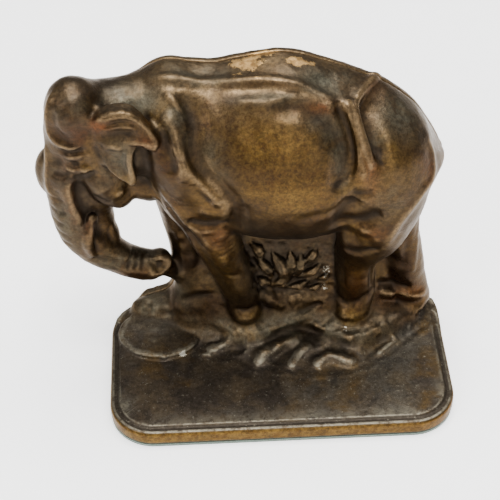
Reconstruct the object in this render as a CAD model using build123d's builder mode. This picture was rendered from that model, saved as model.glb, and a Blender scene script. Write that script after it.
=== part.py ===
from build123d import *
import os

# Elephant still bank: two castings, a front with the plinth and the animal in high relief,
# and a flat rear cover with the coin slot, held by three screws.
# Frame: origin on the underside, under the middle of the plinth. +X is towards the tail,
# +Y is towards the back of the bank, +Z is up. Millimetres.

os.makedirs("parts", exist_ok=True)

# Overall
PLINTH_WIDTH = 130.0
PLINTH_DEPTH = 70.0
BACK_Y = PLINTH_DEPTH / 2

# Felt pad and plinth
FELT_THICKNESS = 1.2
FELT_INSET = 0.3
PLINTH_THICKNESS = 6.1
PLINTH_TOP = FELT_THICKNESS + PLINTH_THICKNESS
PLINTH_FRONT_RADIUS = 17.0
PLINTH_BACK_RADIUS = 12.0
PLINTH_EDGE_ROUND = 1.4
FIELD_INSET = 3.2
FIELD_HEIGHT = 0.7
ROOT_DEPTH = 1.0  # how far the animal and its ground are rooted in the plinth

# Rear cover and the seam
COVER_THICKNESS = 4.0
SEAM_GAP = 0.15
COVER_FOOT_GAP = 0.3
SEAM_Y = BACK_Y - COVER_THICKNESS

# Coin slot and coin chamber
SLOT_LENGTH = 35.0
SLOT_WIDTH = 4.8
SLOT_Z = 111.0
CHAMBER_WALL = 5.0
CHAMBER_FROM_X = -30.0
CHAMBER_TO_X = 45.0

# Screws, No. 8 size with flat-bottomed round heads sunk in the cover
SCREW_SHANK_RADIUS = 2.05
SCREW_LENGTH = 11.0
SCREW_HEAD_RADIUS = 3.8
SCREW_HEAD_HEIGHT = 2.0
SCREW_HEAD_ROUND = 0.7
SCREW_SLOT_WIDTH = 1.1
SCREW_SLOT_DEPTH = 1.0
SCREW_SLOT_RUNOUT = 12.0  # length of the cutter that makes the slot, past both sides of the head
SCREW_TIP_CHAMFER = 0.5
TAPPED_CLEARANCE = 0.1
THROUGH_CLEARANCE = 0.3
SINK_RADIUS = 4.3
SINK_DEPTH = 2.1
TAPPED_DEPTH = 10.5
SCREW_PLACES = {
    "shoulder": (-40.0, 104.0),
    "rump": (50.0, 88.0),
    "foreleg": (-20.0, 50.0),
}

# The animal's barrel as elliptical sections across X, all centred on the seam plane:
# x, height of the centre, half depth, half height
BODY_SECTIONS = [
    (-52.0, 99.0, 10.0, 14.0),
    (-46.0, 100.5, 22.0, 24.0),
    (-37.0, 100.7, 30.0, 27.3),
    (-24.0, 96.7, 31.5, 28.8),
    (-2.0, 95.2, 33.0, 34.3),
    (19.0, 93.5, 31.5, 30.5),
    (38.0, 90.0, 28.0, 25.0),
    (51.0, 86.5, 20.0, 18.5),
    (58.0, 85.0, 9.0, 11.0),
]

# Limbs as tapered round sections along a line: (x, y, z), radius
NECK = [((-42, 25, 104), 18), ((-52, 22, 104), 15.5), ((-64, 18, 107), 14.5), ((-70, 16, 110), 12)]
FACE = [((-63, 17, 118), 9), ((-69, 16, 113), 13.5), ((-74, 16, 102), 12.5), ((-76, 16, 90), 9.5)]
TRUNK = [
    ((-75, 16, 98), 8),
    ((-76, 15, 84), 9),
    ((-73, 14, 70), 8),
    ((-66, 14, 57), 6.6),
    ((-56, 15, 48), 5.4),
    ((-47, 17, 46.5), 4.8),
]
JAW = [((-66, 15, 100), 8), ((-62, 14, 90), 9.5), ((-58, 14, 81), 5.5)]
TUSK = [((-64, 9, 82), 3), ((-67, 5, 72), 2.4), ((-68.3, 3.5, 61), 1.4)]
NEAR_FORELEG = [
    ((-34, 25, 121), 7),
    ((-34, 20, 112), 15.5),
    ((-31, 17.5, 94), 16),
    ((-28, 18, 76), 12.5),
    ((-23, 18.5, 58), 10.3),
    ((-16, 20, 34), 9),
    ((-12.5, 21, 12), 9),
]
FAR_FORELEG = [
    ((-40, 24, 92), 8),
    ((-38, 25, 72), 8.5),
    ((-36, 25, 52), 7.5),
    ((-33, 26, 32), 7.5),
    ((-31, 26, 12), 9),
]
NEAR_HINDLEG = [
    ((35, 26, 110), 7),
    ((37, 23, 98), 17),
    ((35, 20, 82), 19),
    ((31, 18.5, 66), 14.5),
    ((28, 18, 52), 10),
    ((27, 18, 34), 7.6),
    ((26.5, 18, 12), 9.5),
]
FAR_HINDLEG = [
    ((45, 25, 88), 9),
    ((48, 25, 70), 9.5),
    ((49, 26, 50), 8.2),
    ((50, 26, 32), 8),
    ((50, 25, 12), 9.5),
]
TAIL = [
    ((50, 27, 98), 3),
    ((55, 26, 84), 3.2),
    ((55.5, 26, 68), 2.6),
    ((53.5, 23, 52), 2.2),
    ((52, 20, 40), 1.6),
]

# Ear: a fan in the X-Z plane, clockwise from its root over the top
EAR_OUTLINE = [(-62, 116), (-54, 124), (-46, 121), (-41.5, 114), (-48, 107), (-49, 92), (-56, 85)]
EAR_NEAR_Y = 1.0
EAR_DEPTH = 9.0

# Rocky ground and the foliage behind the legs
MOUND_BASE = [(-51, 35), (-58, 16), (-34, 2), (-6, -6), (34, -9), (59, 8), (60, 24), (51, 35)]
MOUND_HEIGHT = 11.0
MOUND_SLOPE = 35.0
ROCK = [((-54, 25, 6), 5), ((-49, 26, 8.5), 8.5), ((-42, 27, 10), 9)]
FOLIAGE_FRONT_Y = 23.0
FOLIAGE_OUTLINE = [(-32, 8), (-36, 50), (-40, 86), (46, 86), (52, 40), (54, 8)]

# Round lumps: the dome of the head and the trunk's tip
ROUND_LUMPS = [((-69.8, 15, 120.8), 10.5), ((-46, 17.5, 46.5), 5.6)]


def tapered_limb(sections):
    """A round bar through the given centres, each section square to the line there."""
    centres = [Vector(*centre) for centre, radius in sections]
    with BuildPart() as limb:
        for number, (centre, radius) in enumerate(sections):
            before = centres[max(number - 1, 0)]
            after = centres[min(number + 1, len(centres) - 1)]
            with BuildSketch(Plane(origin=centres[number], z_dir=after - before)):
                Circle(radius)
        loft()
    return limb.part


def body_loft(inset):
    """The barrel, shoulder and rump, or the chamber inside them when inset is more than 0."""
    with BuildPart() as body:
        for x, centre_z, half_depth, half_height in BODY_SECTIONS:
            if inset and not CHAMBER_FROM_X < x < CHAMBER_TO_X:
                continue
            with BuildSketch(Plane.YZ.offset(x)):
                with Locations((SEAM_Y, centre_z)):
                    Ellipse(half_depth - inset, half_height - inset)
        loft()
    return body.part


def plinth_outline(inset):
    """The plinth's outline, rounder at the front corners, drawn in the sketch in hand."""
    width = PLINTH_WIDTH - 2 * inset
    depth = PLINTH_DEPTH - 2 * inset
    Rectangle(width, depth)
    fillet(vertices().group_by(Axis.Y)[0], PLINTH_FRONT_RADIUS - inset)
    fillet(vertices().group_by(Axis.Y)[-1], PLINTH_BACK_RADIUS - inset)


def slice_across(from_y, to_y, from_z):
    """A block as wide and high as the animal, between two depths."""
    with BuildPart() as block:
        with BuildSketch(Plane.XY.offset(from_z)):
            with Locations((0, (from_y + to_y) / 2)):
                Rectangle(2 * PLINTH_WIDTH, to_y - from_y)
        extrude(amount=2 * PLINTH_WIDTH)
    return block.part


limbs = [
    tapered_limb(NECK),
    tapered_limb(FACE),
    tapered_limb(TRUNK),
    tapered_limb(JAW),
    tapered_limb(TUSK),
    tapered_limb(NEAR_FORELEG),
    tapered_limb(FAR_FORELEG),
    tapered_limb(NEAR_HINDLEG),
    tapered_limb(FAR_HINDLEG),
    tapered_limb(TAIL),
    tapered_limb(ROCK),
]
barrel = body_loft(0)
chamber = body_loft(CHAMBER_WALL)
front_half = slice_across(-PLINTH_DEPTH, SEAM_Y, PLINTH_TOP - ROOT_DEPTH)
rear_slice = slice_across(SEAM_Y + SEAM_GAP, BACK_Y, PLINTH_TOP + FIELD_HEIGHT + COVER_FOOT_GAP)

# The whole animal and its ground, modelled through the seam plane and parted afterwards
with BuildPart() as animal:
    add(barrel)
    for limb in limbs:
        add(limb)
    for centre, radius in ROUND_LUMPS:
        with Locations(centre):
            Sphere(radius)
    with BuildSketch(Plane.XZ.offset(-EAR_NEAR_Y)):
        with BuildLine():
            Polyline(*EAR_OUTLINE, close=True)
        make_face()
    extrude(amount=-EAR_DEPTH)
    with BuildSketch(Plane.XZ.offset(-FOLIAGE_FRONT_Y)):
        with BuildLine():
            Polyline(*FOLIAGE_OUTLINE, close=True)
        make_face()
    extrude(amount=-(BACK_Y - FOLIAGE_FRONT_Y))
    with BuildSketch(Plane.XY.offset(PLINTH_TOP - ROOT_DEPTH)):
        with BuildLine():
            Polyline(*MOUND_BASE, close=True)
        make_face()
    extrude(amount=MOUND_HEIGHT, taper=MOUND_SLOPE)

# Front casting: the plinth, and all of the animal in front of the seam, hollow inside
with BuildPart() as front_casting:
    with BuildSketch(Plane.XY.offset(FELT_THICKNESS)):
        plinth_outline(0)
    extrude(amount=PLINTH_THICKNESS)
    fillet(front_casting.faces().sort_by(Axis.Z)[-1].edges(), PLINTH_EDGE_ROUND)
    with BuildSketch(Plane.XY.offset(PLINTH_TOP)):
        plinth_outline(FIELD_INSET)
    extrude(amount=FIELD_HEIGHT)
    add(animal.part & front_half)
    add(chamber & front_half, mode=Mode.SUBTRACT)
    for x, z in SCREW_PLACES.values():
        with BuildSketch(Plane(origin=(x, SEAM_Y, z), z_dir=(0, 1, 0))):
            Circle(SCREW_SHANK_RADIUS + TAPPED_CLEARANCE)
        extrude(amount=-TAPPED_DEPTH, mode=Mode.SUBTRACT)
front_casting.part.label = "front_casting"
export_step(front_casting.part, "parts/front_casting.step")

# Rear cover: the slice behind the seam, flat at the back, with the coin slot
with BuildPart() as rear_cover:
    add(animal.part & rear_slice)
    with BuildSketch(Plane.XZ.offset(-SEAM_Y)):
        with Locations((0, SLOT_Z)):
            SlotOverall(SLOT_LENGTH, SLOT_WIDTH)
    extrude(amount=-COVER_THICKNESS, mode=Mode.SUBTRACT)
    for x, z in SCREW_PLACES.values():
        with Locations(Plane(origin=(x, BACK_Y, z), z_dir=(0, 1, 0))):
            CounterBoreHole(SCREW_SHANK_RADIUS + THROUGH_CLEARANCE, SINK_RADIUS, SINK_DEPTH)
rear_cover.part.label = "rear_cover"
export_step(rear_cover.part, "parts/rear_cover.step")

# Screws: slotted round heads, seated in the cover and tapped into the front casting
for place, (x, z) in SCREW_PLACES.items():
    head_seat = Plane(origin=(x, BACK_Y - SINK_DEPTH, z), z_dir=(0, 1, 0))
    with BuildPart() as cover_screw:
        with BuildSketch(head_seat):
            Circle(SCREW_HEAD_RADIUS)
        extrude(amount=SCREW_HEAD_HEIGHT)
        fillet(cover_screw.edges().sort_by(Axis.Y)[-1], SCREW_HEAD_ROUND)
        with BuildSketch(head_seat):
            Circle(SCREW_SHANK_RADIUS)
        extrude(amount=-SCREW_LENGTH)
        chamfer(cover_screw.edges().sort_by(Axis.Y)[0], SCREW_TIP_CHAMFER)
        with BuildSketch(head_seat.offset(SCREW_HEAD_HEIGHT)):
            Rectangle(SCREW_SLOT_RUNOUT, SCREW_SLOT_WIDTH)
        extrude(amount=-SCREW_SLOT_DEPTH, mode=Mode.SUBTRACT)
    cover_screw.part.label = f"{place}_screw"
    export_step(cover_screw.part, f"parts/{place}_screw.step")

# Felt pad under the plinth
with BuildPart() as felt_pad:
    with BuildSketch(Plane.XY):
        plinth_outline(FELT_INSET)
    extrude(amount=FELT_THICKNESS)
felt_pad.part.label = "felt_pad"
export_step(felt_pad.part, "parts/felt_pad.step")
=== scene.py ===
import math

import bpy
import numpy as np
import openvdb
from mathutils import Matrix, Vector


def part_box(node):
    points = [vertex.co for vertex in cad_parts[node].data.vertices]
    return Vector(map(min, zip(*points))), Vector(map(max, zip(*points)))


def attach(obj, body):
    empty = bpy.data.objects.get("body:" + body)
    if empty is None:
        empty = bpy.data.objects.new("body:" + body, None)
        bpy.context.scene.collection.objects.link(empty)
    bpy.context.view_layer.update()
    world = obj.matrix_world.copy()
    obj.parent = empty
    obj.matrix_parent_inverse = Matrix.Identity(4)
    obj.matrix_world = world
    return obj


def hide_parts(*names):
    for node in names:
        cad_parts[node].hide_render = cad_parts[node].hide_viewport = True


# Looks for the elephant still bank. The two castings are modelled like clay, as one signed
# distance field in millimetres, then parted at the seam and meshed. Piece meshes, materials,
# camera and lights are in metres.

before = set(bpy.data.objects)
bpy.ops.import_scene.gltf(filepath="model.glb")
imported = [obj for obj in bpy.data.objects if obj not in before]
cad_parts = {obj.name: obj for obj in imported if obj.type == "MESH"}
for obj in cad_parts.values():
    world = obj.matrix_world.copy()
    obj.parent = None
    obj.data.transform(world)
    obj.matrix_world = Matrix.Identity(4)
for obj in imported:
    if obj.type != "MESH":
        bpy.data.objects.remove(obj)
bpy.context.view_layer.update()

MM = 0.001

# The clay's grid step, the faces left in a mesh, the coarser grid for wide hollows, and a far distance
STEP = 0.5
FACE_BUDGET = 190000
MASS_STRIDE = 3
FAR = 40.0


def box_mm(node):
    low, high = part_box(node)
    return np.array(low) / MM, np.array(high) / MM


COVER_LOW, COVER_HIGH = box_mm("rear_cover")
FELT_HIGH = box_mm("felt_pad")[1]
BACK_Y = COVER_HIGH[1]
SEAM_BACK_Y = COVER_LOW[1]
SEAM_GAP = 0.15
SEAM_Y = SEAM_BACK_Y - SEAM_GAP
COVER_FOOT_Z = COVER_LOW[2]
PLINTH_BOTTOM = FELT_HIGH[2]
PLINTH_TOP = PLINTH_BOTTOM + 6.1
PLINTH_HALF_WIDTH = FELT_HIGH[0] + 0.3
PLINTH_HALF_DEPTH = BACK_Y
PLINTH_FRONT_RADIUS = 17.0
PLINTH_BACK_RIGHT_RADIUS = 12.0
PLINTH_BACK_LEFT_RADIUS = 18.0
PLINTH_EDGE = 1.4
FIELD_Z = PLINTH_TOP + 0.7
FIELD_INSET = 3.2
FIELD_EDGE = 0.5
STONE_CENTRE = (-45.5, 15)
STONE_RADII = (16.5, 13.5)

# Hidden features: the slot, holes and sinks are as on the CAD castings, the chamber follows the clay
CHAMBER_WALL = 6.0
CHAMBER_FLOOR_Z = 60.0
CHAMBER_EDGE = 3.0
CHAMBER_MIDDLE_X = 7.5
CHAMBER_HALF_LENGTH = 36.0
SLOT_LENGTH = 35.0
SLOT_WIDTH = 4.8
SLOT_Z = 111.0
THROUGH_RADIUS = 2.35
TAPPED_RADIUS = 2.15
TAPPED_DEPTH = 10.5
SINK_RADIUS = 4.3
SINK_DEPTH = 2.1
COVER_EDGE = 2.6
SCREWS = ("shoulder_screw", "rump_screw", "foreleg_screw")

# Up to HEAD_ROOM_Z the clay is trimmed to the plinth's outline. The head and trunk above it are not.
HEAD_ROOM_Z = 40.0
FAR_OVER = 60.0
ABOVE_ALL_Z = 300.0

# Lines that are modelled first and later tinted: ridges and folds with rubbed wear and painted highlight,
# valleys and creases with painted shade
HIP_RIDGE = [(36, 34, 116), (34, 30, 117.5), (30.6, 24.5, 118.5), (27.5, 18.5, 118), (26.5, 15, 116.5),
             (27, 11, 113), (28.2, 8, 109.5), (30, 5.5, 104.5), (31, 4, 100)]
HIP_VALLEY = [(31.5, 19, 118), (31, 14, 115), (31.5, 10.5, 111), (33, 7.5, 106), (34.5, 5.5, 101)]
HAUNCH_FOLD = [(57, 16, 100), (57.5, 14, 94), (56.5, 12, 89.5), (55, 10, 86), (51.5, 6.5, 84.5),
               (48.5, 4, 81), (43, 2.2, 74), (39.5, 2.6, 66), (38, 4, 60)]
SHOULDER_VALLEY = [(-33, 18, 124), (-31, 14, 122), (-29.6, 10.8, 118), (-29, 7, 113), (-28.7, 4.5, 109),
                   (-27.3, 2.2, 103), (-23, 0.6, 96.3), (-18.4, 0, 91), (-16.2, 0, 85), (-15.6, 2, 77),
                   (-15, 6, 69)]
SHOULDER_EDGE = [(-35.7, 4.4, 110), (-33.8, 3, 107), (-33, 2.2, 104), (-33.6, 1.8, 101), (-33.5, 1.5, 97)]
SHOULDER_FOLD = [(-34, 2.3, 104.5), (-30.6, 1.5, 100.3), (-27, 1, 95), (-23, 0.6, 90.2), (-20.5, 0.5, 86)]
ELBOW_FOLD = [(-24.5, 0.9, 97.5), (-20.6, 0.2, 92), (-18.3, 0.1, 86.7), (-18.2, 0.9, 82), (-20, 2.6, 78.4)]
ELBOW_CREASE = [(-33, 6, 75.4), (-28, 5.6, 73.4), (-23, 5.6, 72.8), (-19, 4, 75)]
KNEE_CREASE = [(21, 3, 75), (25, 4, 73.5), (29, 3.8, 74), (33, 2.6, 76.5), (36.5, 1.8, 78)]
MOUTH = [(-64, 6.4, 100), (-66.5, 6.7, 97.3), (-69, 7.4, 95.6), (-72, 8.2, 94.6)]
TRUNK_VALLEY = [(-70.8, 8, 94.5), (-70.2, 8.7, 89), (-69.6, 8.6, 82.5), (-67.4, 9.2, 76), (-65.4, 11, 69.5),
                (-63.8, 12, 63)]


# ---------------------------------------------------------------- clay: a field and its tools

def smooth_min(a, b, blend):
    """The lesser of two fields, rounded where they meet."""
    if blend <= 0:
        return np.minimum(a, b)
    near = np.maximum(blend - np.abs(a - b), 0.0) / blend
    return np.minimum(a, b) - near * near * blend * 0.25


def smooth_max(a, b, blend):
    return -smooth_min(-a, -b, blend)


def curve_through(points, spacing):
    """Points along a smooth curve through the given rows, every column eased alike."""
    rows = np.array(points, dtype=np.float64)
    if len(rows) < 3:
        return rows
    padded = np.vstack([2 * rows[0] - rows[1], rows, 2 * rows[-1] - rows[-2]])
    out = []
    for i in range(1, len(padded) - 2):
        a, b, c, d = padded[i - 1:i + 3]
        count = max(2, int(np.linalg.norm(c[:3] - b[:3]) / spacing))
        t = np.linspace(0, 1, count, endpoint=False)[:, None]
        out.append(0.5 * (2 * b + (c - a) * t + (2 * a - 5 * b + 4 * c - d) * t ** 2
                          + (3 * b - a - 3 * c + d) * t ** 3))
    out.append(rows[-1:])
    return np.vstack(out)


def gap_to_segment(x, y, z, a, b):
    """For each place, how far along the segment a-b its nearest point lies, and the squared gap to it."""
    d = b - a
    length = max(float(d @ d), 1e-6)
    t = np.clip(((x - a[0]) * d[0] + (y - a[1]) * d[1] + (z - a[2]) * d[2]) / length, 0, 1)
    return t, (x - a[0] - t * d[0]) ** 2 + (y - a[1] - t * d[1]) ** 2 + (z - a[2] - t * d[2]) ** 2


class Clay:
    """A block of space whose field is the distance to the surface, below 0 inside."""

    limb_spacing = 2.0
    stroke_spacing = 1.5

    def __init__(self, low, high, step):
        self.low = np.array(low, dtype=np.float64)
        self.step = step
        self.shape = np.ceil((np.array(high) - self.low) / step).astype(int) + 1
        self.field = np.full(self.shape, FAR, dtype=np.float32)

    def window(self, low, high):
        """The part of the block between two corners, with its X, Y and Z as arrays that spread over it."""
        first = np.clip(((np.array(low) - self.low) / self.step).astype(int), 0, self.shape - 1)
        last = np.clip(np.ceil((np.array(high) - self.low) / self.step).astype(int) + 1, 1, self.shape)
        part = tuple(slice(a, b) for a, b in zip(first, last))
        axes = [(self.low[k] + self.step * np.arange(first[k], last[k])).astype(np.float32) for k in range(3)]
        return part, axes[0][:, None, None], axes[1][None, :, None], axes[2][None, None, :]

    def everywhere(self):
        return self.window(self.low, self.low + self.step * self.shape)

    def join(self, part, distance, blend):
        self.field[part] = smooth_min(self.field[part], distance, blend)

    def blob(self, centre, radii, blend=3.0, tilt=0.0):
        """An egg, turned about Y by tilt degrees."""
        reach = max(radii) + blend + 2
        part, x, y, z = self.window(np.array(centre) - reach, np.array(centre) + reach)
        x, y, z = x - centre[0], y - centre[1], z - centre[2]
        if tilt:
            c, s = math.cos(math.radians(tilt)), math.sin(math.radians(tilt))
            x, z = c * x - s * z, s * x + c * z
        a = np.sqrt((x / radii[0]) ** 2 + (y / radii[1]) ** 2 + (z / radii[2]) ** 2) + 1e-6
        b = np.sqrt((x / radii[0] ** 2) ** 2 + (y / radii[1] ** 2) ** 2 + (z / radii[2] ** 2) ** 2) + 1e-6
        self.join(part, a * (a - 1) / b, blend)

    def limb(self, points, blend=3.0):
        """A round bar through (x, y, z, radius) rows."""
        rows = curve_through(points, self.limb_spacing)
        reach = rows[:, 3].max() + blend + 2
        part, x, y, z = self.window(rows[:, :3].min(0) - reach, rows[:, :3].max(0) + reach)
        best = None
        for a, b in zip(rows[:-1], rows[1:]):
            t, gap = gap_to_segment(x, y, z, a[:3], b[:3])
            piece = np.sqrt(gap) - (a[3] + (b[3] - a[3]) * t)
            best = piece if best is None else np.minimum(best, piece)
        self.join(part, best, blend)

    def sample(self, points, field=None):
        """The field at points, blended between its eight neighbours."""
        field = self.field if field is None else field
        at = (np.asarray(points, dtype=np.float64) - self.low) / self.step
        at = np.clip(at, 0, np.array(self.shape) - 1.001)
        i = at.astype(int)
        f = at - i
        total = np.zeros(len(at))
        for dx in (0, 1):
            for dy in (0, 1):
                for dz in (0, 1):
                    weight = np.abs(1 - dx - f[:, 0]) * np.abs(1 - dy - f[:, 1]) * np.abs(1 - dz - f[:, 2])
                    total += weight * field[i[:, 0] + dx, i[:, 1] + dy, i[:, 2] + dz]
        return total

    def snap(self, points):
        """Moves points onto the surface along the field's slope."""
        p = np.array(points, dtype=np.float64)
        for _ in range(6):
            value = self.sample(p)
            slope = np.stack([self.sample(p + e) - self.sample(p - e) for e in np.eye(3) * 0.8],
                             axis=1) / 1.6
            size = np.maximum(np.linalg.norm(slope, axis=1), 0.3)
            p -= (np.clip(value / size, -3, 3) / size)[:, None] * slope
        return p

    def stroke(self, points, width, height):
        """Raises (height above 0) or presses (below 0) the surface along a line of points."""
        line = self.snap(curve_through(points, self.stroke_spacing)[:, :3])
        along = np.linspace(0, 1, len(line))
        strength = np.minimum(1, np.minimum(along, 1 - along) * 6 + 0.15)
        reach = width * 2.6
        part = self.window(line.min(0) - reach, line.max(0) + reach)[0]
        best = np.full(self.field[part].shape, 1e6, dtype=np.float32)
        power = np.zeros_like(best)
        for a, b, from_power, to_power in zip(line[:-1], line[1:], strength[:-1], strength[1:]):
            near, x, y, z = self.window(np.minimum(a, b) - reach, np.maximum(a, b) + reach)
            local = tuple(slice(s.start - o.start, s.stop - o.start) for s, o in zip(near, part))
            t, gap = gap_to_segment(x, y, z, a, b)
            closer = gap < best[local]
            best[local] = np.where(closer, gap, best[local])
            power[local] = np.where(closer, from_power + (to_power - from_power) * t, power[local])
        self.field[part] -= height * power * np.exp(-best / (width * width))

    def swell(self, centre, radii, height):
        """Raises (or presses, if below 0) a soft round patch of the surface."""
        centre = self.snap([centre])[0]
        reach = np.array(radii) * 1.7
        part, x, y, z = self.window(centre - reach, centre + reach)
        x, y, z = (x - centre[0]) / radii[0], (y - centre[1]) / radii[1], (z - centre[2]) / radii[2]
        self.field[part] -= height * np.exp(-1.6 * (x * x + y * y + z * z))

    def blur(self, passes, field):
        """A field, blurred."""
        f = field
        for _ in range(passes):
            for axis in range(3):
                f = np.moveaxis(f, axis, 0)
                g = f.copy()
                g[1:-1] = 0.25 * f[:-2] + 0.5 * f[1:-1] + 0.25 * f[2:]
                f = np.moveaxis(g, 0, axis)
        return f


def eased(x, keys):
    """A smooth curve through (x, value) keys, read at x."""
    keys = np.array(keys, dtype=np.float64)
    fine = curve_through(keys, 1.0)
    order = np.argsort(fine[:, 0])
    return np.interp(x, fine[order, 0], fine[order, 1])


# ---------------------------------------------------------------- the elephant

clay = Clay((-90, -38, -1), (70, 38, 134), STEP)

# How much wider and lower than stated the modelling lines are drawn
LINE_WIDTH = 1.15
RIDGE_HEIGHT = 0.95
LEAF_FULLNESS = 1.2


def body():
    """The barrel from chest to rump: top, belly and depth lines along X."""
    part, x, y, z = clay.window((-52, -8, 44), (66, 38, 134))
    xs = x.ravel()
    top = eased(xs, [(-56, 104), (-50, 118), (-44, 125.6), (-38, 127.8), (-30, 127), (-22, 126.3),
                     (-12, 128), (0, 129.6), (10, 127.8), (20, 124), (30, 119.6), (40, 114.4), (48, 107.4),
                     (54, 99), (64, 82)])
    low = eased(xs, [(-56, 92), (-48, 84), (-40, 76), (-28, 66), (-14, 56.5), (0, 53.5), (14, 54), (26, 58),
                     (40, 64), (50, 70), (57, 77), (64, 86)])
    deep = eased(xs, [(-56, 8), (-50, 17), (-44, 25), (-36, 29), (-26, 30), (-14, 32), (0, 33.5), (14, 33),
                      (26, 30.5), (38, 29), (48, 26), (56, 17), (64, 5)])
    middle, half = (top + low) / 2, np.maximum((top - low) / 2, 2)
    middle, half, deep = (v.astype(np.float32)[:, None, None] for v in (middle, half, np.maximum(deep, 2)))
    across, up = (y - SEAM_Y - 1) / (deep + 1), (z - middle) / half
    power = np.where(up > 0, 2.0, 2.15)
    r = (np.abs(across) ** power + np.abs(up) ** power) ** (1 / power) + 1e-5
    radial = np.sqrt((y - SEAM_Y - 1) ** 2 + (z - middle) ** 2) + 0.5
    distance = radial * (1 - 1 / r)
    ends = np.maximum(-47.5 - x, x - 61.5)
    clay.join(part, smooth_max(distance, ends, 6), 0)
    return part, distance


def head():
    """The neck, the dome, the trunk and the jaw."""
    clay.limb([(-40, 25, 104, 16), (-48, 24, 105.5, 15), (-54, 22.5, 107, 15), (-61, 21, 109, 14.3),
               (-67, 19, 111, 12.8)], 1.5)
    clay.blob((-70, 15.5, 120.8), (9.6, 10.5, 10.6), 3)
    clay.limb([(-70.5, 17, 112, 10), (-72, 17, 104, 9.3), (-73, 17, 96, 9), (-74, 17, 90, 9),
               (-73.8, 16.5, 80, 8.9), (-73.2, 16, 72, 8.7), (-71.8, 16, 65, 8.5), (-68.5, 16, 58.8, 7.9),
               (-64, 16, 53.6, 7.2), (-59, 16, 49.8, 6.6), (-53.5, 16.5, 46, 6.3), (-48, 17, 44.2, 6),
               (-45, 17.5, 45, 5)], 2.5)
    clay.blob((-79.2, 22.5, 87), (7.4, 7, 11), 1.5)
    clay.limb([(-65.6, 19, 80, 7.4), (-65.8, 19, 73, 6.2), (-65, 19, 66, 5.4), (-63.2, 18.5, 59.5, 5)], 2)
    clay.limb([(-66, 16, 100, 9.5), (-62, 15, 92, 9), (-59.5, 14, 86, 6.6), (-57, 14, 82.5, 5.2)], 2)
    clay.blob((-44.2, 17, 46.6), (4.5, 4.6, 4.5), 0.8)
    clay.limb([(-57, 17, 87, 6.5), (-52, 19, 86, 7.5), (-46, 20, 84, 8)], 2)
    clay.limb([(-46, 18, 43, 4), (-41, 21, 38.5, 3.6), (-38, 23, 34, 3.4)], 1.5)
    clay.limb([(-70, 21, 117, 9), (-62, 23.5, 113, 9.5), (-54, 25, 112.5, 10), (-46, 26, 115.5, 10),
               (-38, 27, 117.5, 10)], 4)
    clay.limb([(-58, 19, 104, 12), (-48, 19, 104, 13), (-40, 20, 106, 13)], 4)
    clay.limb([(-70, 17, 119.5, 8.5), (-62, 20, 117, 9), (-54, 21.5, 115.5, 9.5), (-46, 21.5, 113, 9.5)], 3)


# The near ear's outline, as (x, z)
EAR = [(-64.8, 117), (-64.6, 120.5), (-63, 122.5), (-60.5, 124), (-56.5, 125), (-53, 125.5), (-50, 124.5),
       (-47, 122), (-44, 118), (-42.2, 114.6), (-41.5, 112), (-43, 110), (-45.5, 109.6), (-48.4, 110.6),
       (-50, 108.4), (-50.4, 104.6), (-49.8, 100), (-49.8, 95.8), (-51.6, 93), (-53.4, 94), (-55.5, 96.8),
       (-58.7, 100.4), (-61.2, 103.6), (-63, 108), (-64.6, 113.4)]


def outline_distance(x, z, corners):
    """The distance to a closed outline in the X-Z plane, below 0 inside."""
    best = np.full(np.broadcast(x, z).shape, 1e6)
    inside = np.zeros(best.shape, dtype=bool)
    for (ax, az), (bx, bz) in zip(corners, corners[1:] + corners[:1]):
        dx, dz = bx - ax, bz - az
        t = np.clip(((x - ax) * dx + (z - az) * dz) / (dx * dx + dz * dz), 0, 1)
        best = np.minimum(best, (x - ax - t * dx) ** 2 + (z - az - t * dz) ** 2)
        crosses = (az > z) != (bz > z)
        where = ax + (z - az) * dx / (dz if abs(dz) > 1e-9 else 1e-9)
        inside ^= crosses & (x < where)
    return np.where(inside, -1, 1) * np.sqrt(best)


def ear():
    """The near ear, a slab with its outline rounded into a slightly hollow face."""
    part, x, y, z = clay.window((-70, -3, 86), (-36, 20, 132))
    flat = outline_distance(x[:, 0, :], z[0, :, :].reshape(1, -1), EAR)[:, None, :]
    front = 3.2 + 0.012 * (x + 54) ** 2 + 0.006 * (z - 109) ** 2 + 0.035 * np.maximum(-57 - x, 0) ** 2
    slab = np.maximum(front - y, y - 10.5)
    clay.join(part, smooth_max(flat, slab, 2.4), 1.6)


def legs():
    """The near foreleg, the far foreleg, the near hind leg, the far hind leg and the tail."""
    clay.limb([(-34.4, 23, 114, 12), (-34, 21, 106, 14.5), (-32, 19.5, 93, 15), (-29, 18.5, 79.5, 13.5),
               (-25.6, 18, 69, 11.3), (-23, 17, 58, 9.4), (-20.4, 17, 49, 8.1), (-16.8, 17.5, 38, 7.3),
               (-13.4, 18, 27, 6.9), (-11.4, 18, 15, 7.4)], 2.0)
    clay.limb([(-41, 23, 88, 8), (-38, 24, 76, 7.5), (-36.3, 25, 64, 7), (-34.6, 25, 51, 6.4),
               (-33.4, 25, 37, 6.2), (-32.5, 25, 24, 7), (-32, 25, 14, 9)], 2)
    clay.limb([(37, 26, 99, 12), (38, 24, 94, 17), (38.2, 21, 87, 18.2), (38, 19.5, 77, 17.2),
               (36.8, 18, 67, 15), (34.7, 17, 59, 12.5), (32.2, 17, 52.5, 9.8), (30.3, 17.5, 46.5, 8.2),
               (29.8, 18, 39, 7.2), (30, 18, 31, 7.1), (30, 18, 23, 7.3), (29, 17.5, 14, 8.4)], 2.5)
    clay.limb([(45, 25, 78, 8.4), (45.7, 25, 64, 8.2), (46.4, 25, 51, 8), (48.4, 25.4, 38, 8.4),
               (51, 25.6, 24, 8.2), (53, 25, 15, 8.4)], 1.5)
    clay.limb([(57, 28, 84, 1.9), (56.7, 27.5, 77, 1.8), (54.8, 26.5, 68, 1.8), (53, 25.5, 60, 1.7),
               (52.2, 22, 52, 1.7), (52.2, 20, 43, 1.6), (52.2, 19, 35, 1.4)], 0.8)


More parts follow.
